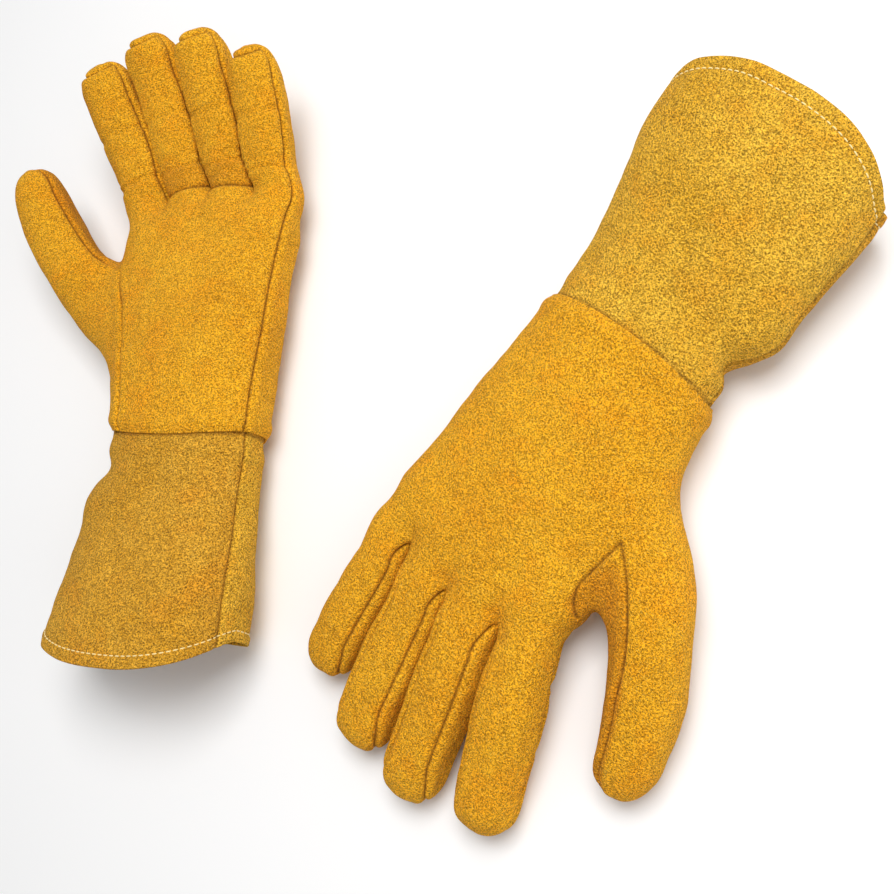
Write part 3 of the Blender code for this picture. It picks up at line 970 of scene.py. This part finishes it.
# ---- materials ----
class Nodes:
    """Short names for wiring a material."""

    def __init__(self, name):
        self.material = bpy.data.materials.new(name)
        self.material.use_nodes = True
        self.tree = self.material.node_tree
        self.shader = self.tree.nodes["Principled BSDF"]
        self.output = self.tree.nodes["Material Output"]

    def add(self, kind, **inputs):
        node = self.tree.nodes.new(kind)
        for key, value in inputs.items():
            self.set(node, key, value)
        return node

    def set(self, node, key, value):
        socket = node.inputs[key if isinstance(key, int) else key.replace("_", " ")]
        if isinstance(value, bpy.types.NodeSocket):
            self.tree.links.new(value, socket)
        else:
            socket.default_value = value

    def attribute(self, name):
        node = self.add("ShaderNodeAttribute")
        node.attribute_name = name
        return node

    def noise(self, vector, scale, detail=2.0, roughness=0.5):
        node = self.add("ShaderNodeTexNoise", Vector=vector, Scale=scale, Detail=detail, Roughness=roughness)
        return node.outputs["Fac"]

    def math(self, kind, first, second):
        return self.vector(kind, first, second, node="ShaderNodeMath")

    def vector(self, kind, *values, node="ShaderNodeVectorMath"):
        """A maths node, with values for its sockets in turn; None leaves one alone."""
        node = self.add(node)
        node.operation = kind
        for i, value in enumerate(values):
            if value is not None:
                self.set(node, i, value)
        return node.outputs[0]

    def spread(self, value, low, high, first=0.0, last=1.0):
        node = self.add("ShaderNodeMapRange")
        self.set(node, 0, value)
        for i, number in enumerate((low, high, first, last)):
            self.set(node, i + 1, number)
        return node.outputs[0]

    def blend(self, share, first, last, kind="MIX"):
        node = self.add("ShaderNodeMix")
        node.data_type = "RGBA"
        node.blend_type = kind
        self.set(node, 0, share)
        self.set(node, 6, first)
        self.set(node, 7, last)
        return node.outputs[2]


def suede(name, pale, base, deep, speckle, grain, line):
    """Brushed split leather: an even colour with lighter and darker nap, short fibres and dark seams, whose
    darkness is partly painted shade in their grooves and painted shadow under the hand leather's edge, with
    painted crease shade on two fingers.

    speckle is the nap's contrast, grain how fine it is and line how dark the seams and their painted shade
    are.
    """
    n = Nodes(name)
    place = n.attribute("rest").outputs["Vector"]
    broad = n.noise(place, 26.0, 3.0, 0.55)
    patch = n.noise(place, 150.0, 4.0, 0.65)
    drift = n.add("ShaderNodeTexNoise", Vector=place, Scale=520.0 * grain, Detail=2.0)
    bent = n.vector("MULTIPLY_ADD", drift.outputs["Color"], (0.0011, 0.0011, 0.0011), place)
    tuft = n.noise(bent, 1150.0 * grain, 1.0, 0.5)
    fibre = n.noise(bent, 2100.0 * grain, 1.0, 0.6)
    tone = n.math("ADD", *[n.spread(each, 0.3, 0.7, -0.5, 0.5) for each in (broad, patch)])
    color = n.blend(n.spread(tone, -0.8, 0.8), (*deep, 1), (*pale, 1))
    color = n.blend(0.35, color, (*base, 1))
    warm = n.spread(n.noise(place, 48.0, 3.0, 0.6), 0.50, 0.68, 0.0, 0.55)
    color = n.blend(warm, color, (base[0], base[1] * 0.80, base[2] * 0.6, 1))
    grit = n.math("ADD", *[n.spread(each, 0.36, 0.64, -0.5, 0.5) for each in (tuft, fibre)])
    light = n.spread(grit, -0.8, 0.8, 1 - speckle, 1 + speckle * 0.9)
    color = n.vector("SCALE", color, None, None, light)
    fleck = n.spread(n.noise(place, 1500.0 * grain, 1.0, 0.5), 0.56, 0.72, 0.0, 0.5)
    color = n.blend(fleck, color, (1.0, 0.64, 0.10, 1))
    pit = n.spread(n.noise(place, 1300.0 * grain, 1.0, 0.5), 0.44, 0.28, 0.0, 0.75)
    color = n.blend(pit, color, (base[0] * 0.55, base[1] * 0.45, base[2] * 0.5, 1))
    # darker where the dark attribute is set: the thumb's inner piece and the cuff's palm side panel, and
    # painted crease shade on the middle and ring fingers
    color = n.blend(n.math("MULTIPLY", n.attribute("dark").outputs["Fac"], 0.6), color,
                    (0.74, 0.56, 0.6, 1), "MULTIPLY")
    # dark brown along the seam attribute: partly the seams' own dark line, partly painted shade in grooves
    # and painted shadow under the hand leather's edge
    seam = n.spread(n.attribute("seam").outputs["Fac"], 0.25, 1.0)
    color = n.blend(n.math("MULTIPLY", seam, 0.8 * line), color, (0.14, 0.045, 0.006, 1))
    for key, value in (
            ("Base Color", color), ("Roughness", 0.95), ("Specular IOR Level", 0.12), ("Sheen Weight", 0.12),
            ("Sheen Roughness", 0.5), ("Sheen Tint", (1.0, 0.72, 0.25, 1))):
        n.set(n.shader, key, value)
    nap = n.math("ADD", n.math("MULTIPLY", tuft, 1.3), n.math("MULTIPLY", fibre, 0.7))
    nap = n.math("ADD", nap, n.math("MULTIPLY", patch, 0.8))
    bump = n.add("ShaderNodeBump", Strength=1.0, Distance=0.0011, Height=nap)
    n.set(n.shader, "Normal", bump.outputs[0])
    return n.material


def cloth(name, color):
    n = Nodes(name)
    place = n.attribute("rest").outputs["Vector"]
    weave = n.noise(place, 900.0, 2.0, 0.6)
    shade = n.blend(n.spread(weave, 0.35, 0.65), (*[c * 0.82 for c in color], 1), (*color, 1))
    n.set(n.shader, "Base Color", shade)
    n.set(n.shader, "Roughness", 0.95)
    bump = n.add("ShaderNodeBump", Strength=0.6, Distance=0.0004, Height=weave)
    n.set(n.shader, "Normal", bump.outputs[0])
    return n.material


def twine(name, color):
    n = Nodes(name)
    n.set(n.shader, "Base Color", (*color, 1))
    n.set(n.shader, "Roughness", 0.6)
    n.set(n.shader, "Sheen Weight", 0.2)
    return n.material


materials = {
    "hand_leather": suede("hand_suede", (0.96, 0.49, 0.022), (0.89, 0.415, 0.012), (0.72, 0.29, 0.008),
                          0.60, 1.0, 1.0),
    "cuff_leather": suede("cuff_suede", (0.89, 0.52, 0.055), (0.79, 0.43, 0.029), (0.58, 0.28, 0.012),
                          0.68, 0.9, 0.85),
    "lining": cloth("lining_cloth", (0.85, 0.80, 0.68)),
    "thread": twine("hem_thread", (0.92, 0.74, 0.32)),
}
blends = {}


# ---- surroundings ----
def surroundings():
    scene = bpy.context.scene
    scene.view_settings.view_transform = "Standard"
    world = bpy.data.worlds.new("studio")
    world.use_nodes = True
    scene.world = world
    sky = world.node_tree.nodes["Background"].inputs
    sky["Color"].default_value, sky["Strength"].default_value = (1, 1, 1, 1), 0.33
    floor = make_object("floor", [(-3, -3, 0), (3, -3, 0), (3, 3, 0), (-3, 3, 0)], [(0, 1, 2, 3)])
    paper = Nodes("paper")
    paper.set(paper.shader, "Base Color", (0.93, 0.93, 0.93, 1))
    paper.set(paper.shader, "Roughness", 0.9)
    floor.data.materials.append(paper.material)
    for name, spot, size, power in (
        ("key", (0.32, 0.30, 1.16), 0.7, 13.4),
        ("fill", (0.95, -0.35, 0.95), 1.2, 4.0),
    ):
        light = bpy.data.lights.new(name, "AREA")
        light.size = size
        light.energy = power
        lamp = bpy.data.objects.new(name, light)
        lamp.location = spot
        lamp.rotation_euler = (Vector((0, 0, 0)) - Vector(spot)).to_track_quat("-Z", "Y").to_euler()
        scene.collection.objects.link(lamp)
    camera = bpy.data.cameras.new("camera")
    camera.angle = math.radians(CAMERA_ANGLE)
    eye = bpy.data.objects.new("camera", camera)
    tilt = math.radians(CAMERA_TILT)
    target = Vector(CAMERA_TARGET)
    turn = math.radians(CAMERA_TOWARDS)
    back = Vector((math.sin(tilt) * math.cos(turn), math.sin(tilt) * math.sin(turn), math.cos(tilt)))
    right = Vector((0, 1, 0)).cross(back).normalized()
    right = Matrix.Rotation(math.radians(CAMERA_ROLL), 3, back) @ right
    up = back.cross(right)
    eye.matrix_world = Matrix.Translation(target + back * CAMERA_FAR) @ Matrix(
        (right, up, back)).transposed().to_4x4()
    scene.collection.objects.link(eye)
    scene.camera = eye


limbs = spread_limbs()
skin = spread_skin(limbs)
sewn, faint_line = seam_lines(limbs)
subdivide_near(skin, sewn, 0.0032)
wrist = coordinates(skin)[:, 1] < 1e-5
settled = onto_field(coordinates(skin), limbs, 2)
settled[wrist, 1] = 0
skin.vertices.foreach_set("co", settled.ravel())
skin.update()
near = distance_to(sewn, settled)
faint = distance_to(faint_line, settled)
label, s, follow = regions(settled, limbs)
for hand, spec in GLOVES.items():
    build_glove(hand, spec, skin, limbs, near, faint, label, s, follow)
surroundings()
